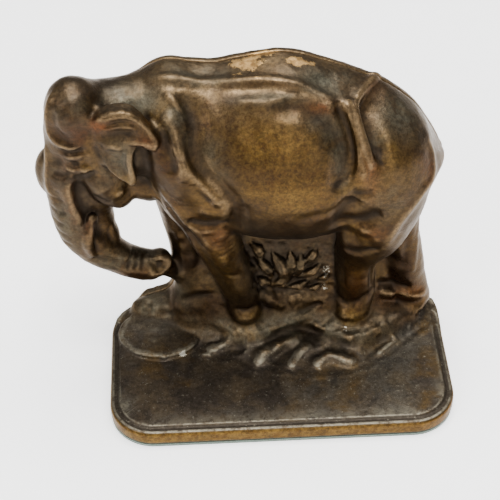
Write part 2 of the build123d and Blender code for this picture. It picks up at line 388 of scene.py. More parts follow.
def across_stone(x, y):
    """0 at the middle of the smooth stone at the trunk's side, 1 at its edge."""
    dx, dy = (x - STONE_CENTRE[0]) / STONE_RADII[0], (y - STONE_CENTRE[1]) / STONE_RADII[1]
    return np.sqrt(dx ** 2 + dy ** 2)


def ground():
    """The ground: a ledge with a ragged front, the bank between the legs, two rocks and the smooth stone."""
    part, x, y, z = clay.window((-66, -22, 4), (66, 38, 74))
    xs = x.ravel()
    foot = eased(xs, [(-66, 30), (-58, 24), (-50, 19), (-42, 15), (-34, 9), (-26, 3), (-18, 1), (-10, -4),
                      (2, -6), (13, -8), (24, -8), (34, -5), (44, 2), (54, 10),
                      (66, 20)]).astype(np.float32)[:, None]
    lip = eased(xs, [(-66, 34), (-58, 29), (-50, 26), (-40, 21), (-32, 17), (-22, 12), (-15, 7), (-6, 7),
                     (3, 10), (11, 12), (20, 5), (29, 2.5), (42, 8), (52, 14),
                     (66, 24)]).astype(np.float32)[:, None]
    flat_y = y[0, :, 0][None, :]
    toe = np.clip((flat_y - foot) / np.maximum(lip - foot, 1.5), 0, 1)
    ledge = 3.2 * toe + 2.6 / (1 + np.exp(-(flat_y - lip) / 0.7)) + 0.28 * np.maximum(flat_y - lip, 0)
    bank = eased(flat_y.ravel(), [(8, 0), (13, 1), (15, 4), (17, 11), (19, 20), (21, 31), (23, 44),
                                  (26, 62), (40, 66)])
    span = 1 / (1 + np.exp(-(xs + 35) / 2.2)) / (1 + np.exp((xs - 45) / 2.0))
    fall = (1 / (1 + np.exp((xs - 57) / 1.2)) / (1 + np.exp(-(xs + 54) / 1.5)))[:, None]
    bank = bank[None, :] * span[:, None]
    away = 3.0 * np.clip((foot - 3 - flat_y) / 6, 0, 1)
    height = (FIELD_Z - 0.4 - away + ledge * fall + bank).astype(np.float32)[:, :, None]
    steep = np.sqrt(1 + np.gradient(height[:, :, 0], STEP, axis=1) ** 2
                    + np.gradient(height[:, :, 0], STEP, axis=0) ** 2)[:, :, None]
    clay.join(part, np.maximum((z - height) / steep, 4 - z), 1.5)
    clay.blob((-50, 28, 8.0), (7.5, 6.5, 6.8), 2.0, 12)
    clay.blob((-43.5, 28.5, 9.0), (7.5, 6, 7.6), 1.6, -14)
    clay.limb([(-44, 27, 7.8, 7), (-39, 27, 9.5, 7), (-33, 26, 14, 7)], 2)
    part, x, y, z = clay.window((-66, -6, 5), (-26, 34, 12))
    across = across_stone(x, y)
    top = z - (9.6 + 0.6 * (1 - across * across))
    clay.join(part, smooth_max((across - 1) * 13, top, 1.0), 0.5)


def plinth_distance(x, y, z, inset, low, high, edge):
    """A slab with round corners, larger at the front, and a rounded top edge."""
    half_x, half_y = PLINTH_HALF_WIDTH - inset, PLINTH_HALF_DEPTH - inset
    back = np.where(x < 0, PLINTH_BACK_LEFT_RADIUS, PLINTH_BACK_RIGHT_RADIUS)
    corner = np.where(y < 0, PLINTH_FRONT_RADIUS, back) - inset
    qx, qy = np.abs(x) - half_x + corner, np.abs(y) - half_y + corner
    flat = rounded_corner(qx, qy) - corner
    return rounded_corner(flat + edge, np.abs(z - (low + high) / 2) - (high - low) / 2 + edge) - edge


def rounded_corner(a, b):
    """The distance to a square corner from its two sides' distances."""
    return np.minimum(np.maximum(a, b), 0) + np.sqrt(np.maximum(a, 0) ** 2 + np.maximum(b, 0) ** 2)


def ridge(points, width, height):
    clay.stroke(points, width * LINE_WIDTH, height * RIDGE_HEIGHT)


def groove(points, width, depth):
    clay.stroke(points, width * LINE_WIDTH, -depth)


def hollow(centre, radii, depth):
    clay.swell(centre, radii, -depth)


def bump(centre, radii, height):
    clay.swell(centre, radii, height)


def back_and_barrel():
    """Lines of the back, the ribs' edge, the haunch and the flank."""
    hollow((-20, 26, 124.5), (14, 5, 5), 0.7)
    hollow((16, 21, 123), (13, 6, 4), 1.5)
    hollow((33, 19, 114), (6, 9, 9), 1.5)
    hollow((42, 16, 108), (8, 10, 9), 1.3)
    hollow((0, 15.5, 124.5), (22, 3, 3), 0.9)
    ridge([(-45, 24, 123), (-38, 22, 126), (-31, 21.5, 126), (-24, 21.5, 125), (-17, 21, 125),
           (-10, 20, 126), (-4, 19, 126.5), (2, 18, 126), (8, 17, 125), (14, 16, 122.5), (19, 15, 120),
           (23, 15, 118)], 1.7, 1.4)
    ridge([(-18, 14.5, 121), (-12, 13.5, 121.5), (-6, 12.5, 122), (0, 12.3, 122.5), (6, 12.5, 122),
           (11, 11.5, 120), (15, 11, 118)], 1.8, 0.9)
    bump((17, 13, 119), (4, 2.5, 2.5), 0.8)
    groove([(-3, 11, 121.5), (3, 11, 121), (8, 11, 120), (13, 9, 117), (17, 8, 114.5), (20, 6, 110.5),
            (21.5, 3.5, 106), (21, 1.5, 101), (20, 0, 97), (17, -1, 93)], 3.2, 3.0)
    groove([(19, 15, 119), (21.5, 11.5, 116), (23, 8, 112), (24, 5, 107), (23.8, 3, 103.5), (23.3, 2, 100),
            (22, 0.5, 97), (19, -0.7, 94)], 1.3, 3.4)
    ridge([(23.5, 15, 118), (24.6, 10.7, 114), (26, 7.5, 110), (27.3, 4.7, 105), (28.3, 2.5, 100),
           (28, 1, 95)], 1.5, 2.6)
    ridge(HIP_RIDGE, 1.3, 4.2)
    groove(HIP_VALLEY, 2.8, 2.6)
    bump((24.5, 15, 118), (3, 3, 3), 1.6)
    groove([(29, 19, 118), (29, 14, 115), (30, 10, 111), (31.5, 7.5, 106.5), (33, 6, 102.5)], 1.8, 0.9)
    groove([(24.5, 16.5, 118.5), (25.6, 12, 115), (26.4, 8.6, 111.3), (28, 6, 106.5)], 0.8, 0.5)
    bump((37.5, 9, 106), (4.5, 4, 3.5), 0.9)
    bump((39.5, 5, 99), (4, 4, 7), 0.7)
    groove([(33.8, 7, 106), (34.4, 5, 102), (35.3, 3.5, 98)], 1.0, 0.6)
    ridge(HAUNCH_FOLD, 1.8, 1.5)
    hollow((49, 8, 93), (6, 5, 7), 0.8)
    groove([(24.5, 0.4, 92), (27, 0.7, 90), (30, 1, 89.5), (33, 1.5, 90)], 1.3, 0.9)
    groove([(25.5, 0.3, 91), (24.6, 0.2, 88), (21.5, -0.2, 84.3), (13, -1.7, 82.5), (5, -1.5, 81)], 2.4,
           0.6)
    groove([(26, 0.5, 88), (23, 1, 82), (21, 3, 76), (21, 6, 70)], 3.0, 3.6)
    bump((5, -2, 90), (22, 5, 9), 0.8)
    bump((29, 1, 84), (5, 4, 6), 0.8)


def shoulder_and_foreleg():
    """Folds of the shoulder and the elbow, the shin's edge and the forefeet's toes."""
    groove([(-46.6, 13, 113), (-46.3, 11, 106), (-46, 10, 99), (-45.5, 10, 92)], 2.0, 1.2)
    ridge([(-43.6, 12, 114), (-43.6, 10, 110), (-43, 8, 106)], 1.7, 0.5)
    ridge([(-39, 17, 123.5), (-36.4, 14.8, 123), (-34, 12.7, 121), (-32.3, 11.2, 119.3), (-31.3, 8.8, 116),
           (-31.3, 6.5, 112)], 1.6, 1.3)
    groove(SHOULDER_VALLEY, 3.0, 4.2)
    groove([(-40, 9, 116), (-38.5, 6.5, 111), (-37, 5, 106), (-36.5, 3.5, 100)], 2.2, 1.5)
    ridge(SHOULDER_EDGE, 1.5, 1.6)
    ridge(SHOULDER_FOLD, 1.9, 2.4)
    ridge([(-27.2, 3.6, 108), (-26, 2.2, 103.3), (-23.6, 1, 98.6)], 1.5, 1.0)
    groove([(-30, 1.6, 97.5), (-27, 1.4, 92), (-24, 1.5, 87)], 1.7, 1.8)
    ridge([(-39, 13, 119), (-36, 9, 114), (-35, 6, 110), (-34, 4, 106)], 2.4, 1.6)
    ridge(ELBOW_FOLD, 1.8, 2.4)
    bump((-24, 1.5, 81), (5.5, 4, 4), 1.6)
    groove(ELBOW_CREASE, 1.7, 2.8)
    bump((-26, 6.5, 69.5), (4, 3, 3), 0.9)
    bump((-21, 8, 66), (3.5, 3, 3), 0.8)
    ridge([(-42, 8, 89), (-39, 7, 84.5), (-35.8, 6.7, 78.5), (-32.5, 6.7, 72.6), (-27.5, 7.3, 65.3),
           (-24, 8.2, 58)], 1.6, 1.1)
    groove([(-40.5, 8, 84), (-37.5, 8.5, 77), (-34.5, 9, 70), (-30, 9.5, 62.5), (-26.5, 10, 55),
            (-23.5, 10.5, 46), (-20, 11.5, 36), (-17.5, 12.5, 26)], 1.9, 1.2)
    clay.stroke([(-45, 12, 84.3), (-42, 12.5, 78.5), (-39.7, 14, 71), (-37.4, 16, 62)], 0.7, 1.2)
    bump((-20.5, 9.5, 52), (3, 3, 6), 0.7)
    groove([(-22, 10, 45), (-18, 10.2, 43.5), (-14.5, 12, 43)], 1.0, 0.5)
    groove([(-16.6, 12, 24), (-12.4, 11.5, 23.2), (-8, 13.5, 24)], 1.2, 1.0)
    bump((-12.5, 11.3, 19), (5.5, 3, 3), 1.5)
    groove([(-15.3, 11, 20.5), (-15.6, 11.2, 16.5)], 0.7, 0.9)
    groove([(-11, 10.6, 20.5), (-11.2, 10.8, 16.5)], 0.7, 0.9)
    for x in (-36.5, -34, -31.5):
        groove([(x, 19, 22), (x + 3, 18, 25), (x + 7, 18.5, 27)], 0.9, 0.9)
    groove([(-40, 19, 60), (-38, 18.6, 48), (-36.5, 18.8, 36)], 1.3, 0.5)


def haunch_and_feet():
    """Folds of the knee, the hind leg's edges, its toes and the far hind foot."""
    groove(KNEE_CREASE, 2.6, 2.2)
    bump((25.2, 9, 61), (3.4, 3, 4), 2.2)
    bump((31.5, 4.2, 69.5), (4.5, 3, 3), 1.2)
    bump((35, 3.8, 66), (3, 3, 3.5), 0.9)
    groove([(27.5, 6, 66), (28.4, 6, 61.5)], 1.1, 0.8)
    groove([(23.5, 10.5, 55), (26, 8.4, 55.3), (29, 6.6, 56.3), (33, 5.4, 59), (37, 5, 60)], 1.3, 1.7)
    bump((28.5, 9.5, 38), (4, 3, 7), 1.3)
    groove([(24.6, 13, 49), (24.8, 12.5, 40), (24.3, 12.5, 33)], 1.2, 0.6)
    groove([(35, 12.5, 46), (35.8, 13.5, 38), (36, 14, 30)], 0.9, 1.2)
    ridge([(36.8, 14.5, 45), (37.6, 15.4, 37), (38, 16, 29), (36.5, 14, 22)], 1.1, 0.9)
    groove([(22.6, 14, 25.5), (26, 11.6, 24.2), (30.7, 10.9, 25.6), (35.5, 13.5, 28)], 1.3, 1.6)
    bump((26.5, 9.8, 19), (6, 3, 3), 1.8)
    for x in (23.6, 27.3, 31):
        groove([(x, 10, 20), (x + 0.2, 9.6, 15.5)], 0.7, 0.9)
    groove([(39, 17, 28.5), (48, 18.4, 26.5), (52, 18.6, 26)], 1.6, 2.0)
    ridge([(40, 15.5, 26), (45, 16.5, 23.5), (49, 17.5, 22.5), (54, 19, 21), (58.5, 21.5, 20)], 1.3, 1.3)
    groove([(41, 16, 21.5), (47, 16.8, 18.5), (53, 18, 17.5), (57.5, 20.5, 16.5)], 1.2, 1.0)
    groove([(48, 19.5, 56), (48.6, 19, 46), (48, 18.6, 36)], 1.6, 0.8)
    groove([(42, 19.8, 60), (43, 19.2, 48), (43.6, 18.6, 36)], 1.6, 0.6)


def ear_folds():
    """The rolled rim, the folds at the root and the veins of the near ear."""
    ridge([(-66, 12, 119), (-62, 11, 122.6), (-57, 11, 124), (-52, 11, 124), (-49, 11, 121.5),
           (-45.4, 10.5, 117), (-42.4, 9, 111.5), (-42, 8, 106)], 1.5, 1.3)
    ridge([(-64, 5.6, 121.8), (-61, 5, 123), (-57, 4.8, 124.6), (-53, 4.6, 125), (-50, 4.6, 124),
           (-47, 4.8, 121.3), (-44, 5, 117), (-42.4, 5, 112.6), (-43, 5, 110.4), (-46, 4.6, 110.3)], 1.4,
          0.9)
    groove([(-60, 4.6, 119.8), (-57, 4.2, 121.4), (-54, 4.1, 122.4), (-50.5, 4.3, 122), (-47.4, 4.6, 119.4),
            (-45, 4.8, 115.8)], 0.9, 0.9)
    ridge([(-62.6, 4.6, 116.4), (-58.5, 4, 119), (-54, 3.9, 120.5), (-49.6, 4, 119.8), (-46.4, 4.4, 117)],
          1.2, 0.5)
    groove([(-62, 4.4, 115.2), (-57, 3.7, 117.2), (-52.8, 3.6, 117.3), (-49, 3.8, 115.6)], 2.0, 1.3)
    ridge([(-54, 3.5, 115.6), (-49.3, 3.6, 113.6), (-46, 4, 112.8), (-43.2, 4.6, 111.6)], 1.1, 1.1)
    groove([(-51.2, 3.4, 111.6), (-48.6, 3.6, 111.9), (-45.8, 4, 111.4)], 0.8, 0.7)
    groove([(-60.6, 4.4, 113.5), (-61.4, 4.2, 110), (-61, 4.2, 107)], 1.0, 1.4)
    ridge([(-58.5, 4, 113.5), (-56, 3.7, 112.5), (-53.5, 3.6, 110.8)], 1.3, 0.9)
    ridge([(-51.3, 3.4, 110.5), (-51.7, 3.6, 105), (-51.4, 3.9, 100.6), (-50.8, 4.2, 96.4),
           (-51.8, 4.6, 93.8)], 1.1, 1.3)
    groove([(-53.4, 3.3, 110), (-53.7, 3.5, 104.5), (-53.2, 3.9, 99.5)], 1.0, 0.8)
    ridge([(-63, 5, 105.5), (-60.4, 4.9, 102.6), (-57, 5, 98.6), (-54, 5.2, 94.8)], 1.0, 0.7)
    groove([(-61, 4, 111), (-61.2, 4.2, 107.6)], 1.2, 1.7)
    for x, z in ((-54.5, 110), (-54.6, 106), (-55, 102), (-56, 99)):
        groove([(-60, 3.9, 109.5), ((x - 60) / 2, 3.6, (z + 110.5) / 2), (x, 3.8, z)], 0.7, 0.9)
    hollow((-57, 3.4, 105.5), (4, 3, 4.5), 0.9)
    groove([(-63.4, 5.5, 112), (-62, 5.6, 107), (-59, 5.6, 102), (-55.5, 5.6, 97.5), (-52.5, 5.8, 94.5)],
           1.1, 1.0)


def face_and_trunk():
    """The brow, the eye, the mouth, and the folds and the tip of the trunk."""
    ridge([(-74, 14, 129.5), (-76.4, 11.5, 127.5), (-77.9, 10.5, 123.5), (-78.6, 10.8, 117.6),
           (-78.3, 10.3, 113.8), (-76.4, 8.6, 111.6), (-73.9, 7, 110.5), (-70.5, 6, 110),
           (-67.9, 5.8, 111)], 1.2, 1.2)
    groove([(-75.1, 8.6, 125), (-75.8, 7.6, 120), (-75.2, 7.6, 115.8), (-73.2, 6.6, 113.6),
            (-69.8, 5.8, 113.2)], 1.5, 0.9)
    groove([(-75, 8, 108.6), (-73, 7, 108), (-70, 6, 108.3), (-66.4, 5.8, 109)], 1.1, 1.5)
    ridge([(-81, 13, 107), (-81.8, 12, 101), (-81.8, 12, 95.5), (-81.6, 12, 89.6), (-79.8, 11, 85.6)], 1.3,
          1.3)
    hollow((-77, 9, 101), (3.6, 4, 4.6), 2.0)
    groove([(-79.5, 10.5, 96.5), (-76.4, 8.7, 96.4), (-72, 7.8, 97.6)], 1.2, 1.2)
    ridge([(-74, 7.4, 105.6), (-70, 6.2, 106.4), (-66.4, 5.8, 107)], 1.6, 1.0)
    hollow((-70.4, 7, 102.3), (1.8, 3, 1.4), 1.0)
    ridge([(-74.6, 8.1, 100.8), (-72.4, 7.7, 99.8), (-70, 7.3, 99.6)], 1.1, 0.8)
    bump((-66.8, 6.6, 100.5), (2.6, 2.6, 2), 1.6)
    groove(MOUTH, 1.3, 1.9)
    ridge([(-65.6, 5.8, 109), (-64.7, 6.6, 104), (-62.4, 7.2, 100.7), (-58.6, 7.4, 95.5)], 1.1, 0.8)
    groove(TRUNK_VALLEY, 2.4, 3.4)
    ridge([(-74, 8.2, 94), (-73.3, 8.1, 89.5), (-72.6, 7.9, 84), (-71, 8.1, 78.5), (-70, 8.2, 73.5)], 1.7,
          1.5)
    groove([(-78, 9.5, 90), (-77.5, 9, 84), (-76, 8.6, 77)], 1.6, 0.6)
    bump((-62.5, 6.6, 92), (4, 4, 4.5), 1.1)
    groove([(-66, 8, 88), (-62.5, 8, 85.5), (-59.5, 8.6, 83)], 1.3, 0.9)
    bump((-56.4, 8, 88.3), (2.6, 2.6, 2.2), 1.5)
    clay.limb([(-67, 10.5, 74, 2.2), (-68.6, 8.6, 69, 2.6), (-69, 8.4, 63.5, 2.5), (-68, 9.4, 58.5, 1.9)],
              1.2)
    groove([(-65.6, 9.2, 75), (-66, 8.4, 69), (-66.2, 8.6, 63), (-66, 9, 58)], 1.1, 1.4)
    groove([(-69, 7.6, 56.5), (-66.4, 8.4, 56.2), (-62, 9.3, 54), (-57, 10.3, 51.4), (-52, 11.3, 49.2)],
           1.2, 1.2)
    groove([(-60.4, 13, 67), (-61, 12.8, 62.5), (-60, 13, 58.5)], 1.0, 0.6)
    for x, z in ((-50, 47.6), (-52.5, 48.5), (-55.3, 49.2)):
        groove([(x + 1, 17, z + 3.5), (x, 12.5, z + 2.6), (x - 0.6, 10.6, z - 1)], 0.7, 0.9)
    for z in (86, 80.5, 75, 70, 65):
        groove([(-82, 12, z), (-78.5, 8.6, z - 1.2), (-75, 7.4, z - 1.6)], 0.8, 0.35)
    ridge([(-47.6, 14, 50.6), (-44.3, 13.4, 51.4), (-41.2, 15, 49.4), (-40.6, 14.5, 46),
           (-43.4, 12.4, 43.6), (-47, 12.4, 44.5), (-48, 13, 48)], 1.0, 0.9)
    hollow((-44.2, 12.8, 47.6), (1.9, 3, 1.9), 2.2)


def ground_marks():
    """Ragged ledges, brush-like scallops, the smooth stone's edge and the leaves on the bank."""
    ridge([(-32, 17, 14), (-22, 12, 14), (-15, 7, 14), (-6, 7, 14), (3, 10, 14.5), (11, 12, 15),
           (20, 5, 14), (29, 2.5, 14), (42, 8, 14), (52, 14, 13.5), (60, 19, 13)], 2.2, 0.35)
    ridge([(-29, 1, 10), (-27, 4, 11), (-23, 5, 11.5), (-18, 8, 12.5)], 1.9, 1.7)
    ridge([(-10, -6, 9), (-7, -1, 10.5), (-4, 2, 11), (3, 5, 12), (10, 8, 13)], 2.2, 1.9)
    ridge([(3, -7, 8.5), (7, -1, 10.5), (10, 2.6, 11), (13, 5, 12)], 1.9, 1.8)
    ridge([(13, -7, 8.5), (16, -3, 10), (20, -1.2, 11), (25, -4, 10), (30, -6, 9)], 2.1, 2.0)
    groove([(-24, 2, 10.5), (-19, 3.5, 11), (-13, 3, 11.5)], 1.5, 1.2)
    groove([(-5, 5, 12.5), (2, 8.5, 13), (9, 10, 13.5), (16, 7.5, 12.5), (23, 3.5, 12), (29, 0.5, 11)], 1.5,
           1.4)
    groove([(-3, -4, 9.5), (1, 0.5, 11), (5, 3, 11.5)], 1.3, 1.2)
    groove([(14, -2, 10), (18, 1.4, 11.5), (24, -1, 11)], 1.3, 1.2)
    groove([(33, -3, 10), (38, 2, 11), (45, 6, 11)], 1.5, 1.0)
    ridge([(38, -2, 9), (42, 2, 10), (48, 6, 10.5)], 1.2, 0.8)
    for x, y in ((-34, -3), (-47, -5)):
        ridge([(x, y, 9), (x + 1.8, y + 2.4, 9), (x + 4, y + 4, 9)], 0.8, 0.7)
    for x, z in ((-52, 15.5), (-44, 14.5)):
        groove([(x - 3, 20.5, z - 0.8), (x, 19.6, z), (x + 3.5, 19.8, z - 0.3)], 0.9, 0.6)
    # Each leaf: the (x, z) of its root, the (x, z) of its tip, and its width
    leaves = [((3, 33), (-1.5, 44.5), 2.2), ((-2, 35), (-8, 43), 1.8), ((-2.5, 31), (-8.5, 34), 1.5),
              ((-1.5, 30.5), (5.5, 34), 1.6), ((5, 34.5), (5, 45), 1.7), ((7.5, 34), (9.5, 43), 1.5),
              ((9, 33.5), (17, 39), 1.6), ((4.5, 28.5), (12, 31.5), 1.6), ((10, 39.5), (15, 46), 1.4),
              ((-5.5, 43.5), (-10, 50), 1.6), ((11, 27.5), (17.5, 30), 1.4), ((-9, 37), (-14, 42), 1.5),
              ((-11, 30), (-14, 35), 1.3), ((16, 32), (20, 35), 1.2)]
    for (ax, az), (bx, bz), width in leaves:
        a, c = np.array([ax, bank_y(az), az]), np.array([bx, bank_y(bz), bz])
        bow = (a + c) / 2 + np.array([0.08 * (bz - az), -0.9, -0.05 * (bx - ax)])
        width *= LEAF_FULLNESS
        clay.limb([(*a, 0.5 * width), (*bow, width), (*c, 0.3 * width)], 0.6)
        clay.stroke([a, bow - np.array([0, width, 0]), c], 0.55, -0.5)
    clay.limb([(-6, 18.5, 26.5, 2.6), (-3, 17.5, 23.5, 3.4), (1, 17, 20.5, 2.4)], 1.2)
    clay.limb([(6, 16, 14, 2.6), (11, 16.5, 15, 3.4), (17, 18, 16, 2.8)], 1.6)
    groove([(-2, 19, 28), (4, 19, 26.8), (9, 19, 27), (14, 19, 25.5)], 1.1, 2.2)
    groove([(-3, 19, 29), (-7, 19, 29.5), (-12, 19, 27.5)], 1.0, 1.6)
    groove([(8, 14, 17), (13, 15, 19.5), (18, 17, 21)], 0.9, 1.4)


def bank_y(z):
    """How far back the leafy bank lies at height z."""
    return 18.0 + (z - 31.0) / 5.5


def coarse_noise(size, seed):
    """Smooth random values over the whole block, with features of the given size."""
    cells = np.ceil(np.array(clay.shape) * STEP / size).astype(int) + 3
    values = np.random.default_rng(seed).standard_normal(cells).astype(np.float32)
    for axis in range(3):
        at = np.arange(clay.shape[axis]) * STEP / size
        first = at.astype(int)
        part = (at - first).astype(np.float32)
        part = part * part * (3 - 2 * part)
        shape = [1, 1, 1]
        shape[axis] = -1
        part = part.reshape(shape)
        values = np.take(values, first, axis) * (1 - part) + np.take(values, first + 1, axis) * part
    return values


def rising(value):
    return np.clip(value, 0, 1)


def worked_surface():
    """The uneven, hand-worked skin of the casting: soft on the body, pitted and rough on the ground."""
    part, x, y, z = clay.everywhere()
    bank = rising((60 - z) / 8) * rising((y - 13) / 3) * rising((x + 24) / 4) * rising((24 - x) / 4)
    ledge = rising((17 - z) / 3) * rising((y + 2) / 6)
    stone = rising((1.25 - across_stone(x, y)) * 4)
    rough = np.maximum(bank, ledge) * (1 - stone)
    clay.field += 0.16 * coarse_noise(7.0, 1) + (0.08 + 0.18 * rough) * coarse_noise(3.0, 2)
    clay.field += (0.02 + 0.10 * rough) * coarse_noise(1.5, 3)


barrel_part, barrel = body()
head()
legs()
ear()
ground()
back_and_barrel()
shoulder_and_foreleg()
haunch_and_feet()
ear_folds()
face_and_trunk()
ground_marks()
worked_surface()


# ---------------------------------------------------------------- meshing

def mesh_from(field, name):
    """The surface of a field as a mesh, thinned out to the face budget."""
    grid = openvdb.FloatGrid()
    grid.copyFromArray(field)
    points, triangles, quads = grid.convertToPolygons(0.0, 0.0)
    points = np.asarray(points) * STEP + clay.low
    mesh = bpy.data.meshes.new(name)
    faces = [tuple(t) for t in triangles.tolist()] + [tuple(q) for q in quads.tolist()]
    mesh.from_pydata((points * MM).tolist(), [], faces)
    mesh.validate()
    count = 2 * len(quads) + len(triangles)
    if count <= FACE_BUDGET:
        return mesh
    full = bpy.data.objects.new(name, mesh)
    bpy.context.scene.collection.objects.link(full)
    thin = full.modifiers.new("thin", "DECIMATE")
    thin.ratio = FACE_BUDGET / count
    reduced = bpy.data.meshes.new_from_object(full.evaluated_get(bpy.context.evaluated_depsgraph_get()))
    bpy.data.objects.remove(full)
    bpy.data.meshes.remove(mesh)
    reduced.name = name
    return reduced


def bore(x, y, z, centre_x, centre_z, radius, from_y):
    """A straight hole along Y, from from_y backwards."""
    wall = np.sqrt((x - centre_x) ** 2 + (z - centre_z) ** 2) - radius
    return np.maximum(wall, np.maximum(from_y - y, y - FAR))


def castings():
    """The clay parted at the seam: the front with its plinth, and the rear cover with slot and sinks."""
    x, y, z = clay.everywhere()[1:]
    above = plinth_distance(x, y, z, 0.0, PLINTH_BOTTOM, ABOVE_ALL_Z, 0.0) - FAR_OVER * (z > HEAD_ROOM_Z)
    plinth = plinth_distance(x, y, z, 0.0, PLINTH_BOTTOM, PLINTH_TOP, PLINTH_EDGE)
    raised = plinth_distance(x, y, z, FIELD_INSET, PLINTH_BOTTOM, FIELD_Z, FIELD_EDGE)
    plinth = smooth_min(plinth, raised, 0.6)
    front = np.maximum(clay.field, np.maximum(y - SEAM_Y, PLINTH_TOP - 1 - z))
    front = np.maximum(smooth_min(front, plinth, 1.2), above)
    ends = np.abs(x[barrel_part[0]] - CHAMBER_MIDDLE_X) - CHAMBER_HALF_LENGTH
    chamber = smooth_max(barrel + CHAMBER_WALL, ends, CHAMBER_EDGE)
    chamber = np.maximum(chamber, CHAMBER_FLOOR_Z - z[:, :, barrel_part[2]])
    front[barrel_part] = np.maximum(front[barrel_part], -chamber)
    rear = smooth_max(clay.field, y - BACK_Y, COVER_EDGE)
    rear = np.maximum(rear, np.maximum(SEAM_BACK_Y - y, COVER_FOOT_Z - z))
    rear = np.maximum(rear, above)
    straight = (SLOT_LENGTH - SLOT_WIDTH) / 2
    slot = np.sqrt(np.maximum(np.abs(x) - straight, 0) ** 2 + (z - SLOT_Z) ** 2) - SLOT_WIDTH / 2
    rear = smooth_max(rear, -slot, 0.6)
    for name in SCREWS:
        low, high = box_mm(name)
        at_x, at_z = (low[0] + high[0]) / 2, (low[2] + high[2]) / 2
        tapped = bore(x, y, z, at_x, at_z, TAPPED_RADIUS, SEAM_Y - TAPPED_DEPTH)
        through = bore(x, y, z, at_x, at_z, THROUGH_RADIUS, 0)
        sink = bore(x, y, z, at_x, at_z, SINK_RADIUS, BACK_Y - SINK_DEPTH)
        front = np.maximum(front, -tapped)
        rear = np.maximum(rear, -np.minimum(through, sink))
    return front.astype(np.float32), rear.astype(np.float32)


def casting_piece(field, name, body_name, node):
    """The visible piece of one casting, tied to its body and standing in for its hidden CAD node."""
    piece = bpy.data.objects.new(name, mesh_from(field, name))
    bpy.context.scene.collection.objects.link(piece)
    piece.data.polygons.foreach_set("use_smooth", [True] * len(piece.data.polygons))
    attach(piece, body_name)
    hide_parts(node)
    paint(piece, field)
    return piece


def soft_spots(points, spots):
    """How strongly each point lies in a set of soft egg-shaped spots: (centre, radii, strength)."""
    total = np.zeros(len(points))
    for centre, radii, strength in spots:
        gap = (((points - np.array(centre)) / np.array(radii)) ** 2).sum(1)
        total = np.maximum(total, strength * np.exp(-gap * 1.2))
    return total


# Tints, painted shade and painted highlights: (centre, radii, strength) of each soft spot, and (points,
# width, strength) of each soft line
SPOTS = {}
LINES = {}
SPOTS["gold"] = [
    ((-5, 2, 112), (24, 12, 12), 0.75), ((4, -3, 93), (28, 10, 12), 0.55),
    ((-41, 14, 119), (6, 10, 6), 0.9), ((38, 7, 103), (6, 6, 8), 0.7), ((30, 4, 95), (9, 6, 10), 0.5),
    ((-11, 10, 17), (8, 7, 6), 1.0), ((27, 10, 18), (9, 6, 5), 1.0), ((-24, 2, 82), (10, 6, 8), 0.5),
    ((-66.5, 6, 100), (3, 3, 3), 0.9), ((-56, 8, 88), (3.5, 3.5, 3), 0.8), ((30, 5, 66), (8, 6, 6), 0.9),
    ((29, 9, 40), (6, 5, 10), 0.95), ((-20, 9, 52), (8, 6, 18), 0.9), ((56, 24, 62), (6, 8, 16), 0.6),
    ((-52, 4, 96), (3, 3, 5), 0.6),
]
SPOTS["copper"] = [
    ((-61, 5, 120), (4.5, 4, 3.5), 1.0), ((-46, 4, 112.5), (5, 3, 3), 0.8),
    ((14, 12.5, 119.5), (6, 4, 3), 0.8), ((-72.5, 8, 85), (3, 3, 9), 0.8), ((-68, 8, 73), (3, 3, 6), 0.6),
    ((-70, 9, 118), (6, 6, 6), 0.5), ((-60, 11, 44), (8, 6, 4), 0.7), ((33, 4, 68), (5, 4, 4), 0.6),
    ((-74, 8, 101), (5, 4, 5), 0.5), ((-22, 8, 66), (7, 4, 8), 0.6), ((55, 8, 90), (4, 8, 10), 0.5),
    ((52, 18, 21), (9, 5, 4), 0.6), ((29, 10, 36), (6, 4, 9), 0.7), ((36, 24, 117), (8, 6, 5), 0.4),
    ((60, -20, 4), (12, 24, 5), 0.5), ((31, 2.6, 98), (3.5, 4, 12), 0.7),
]
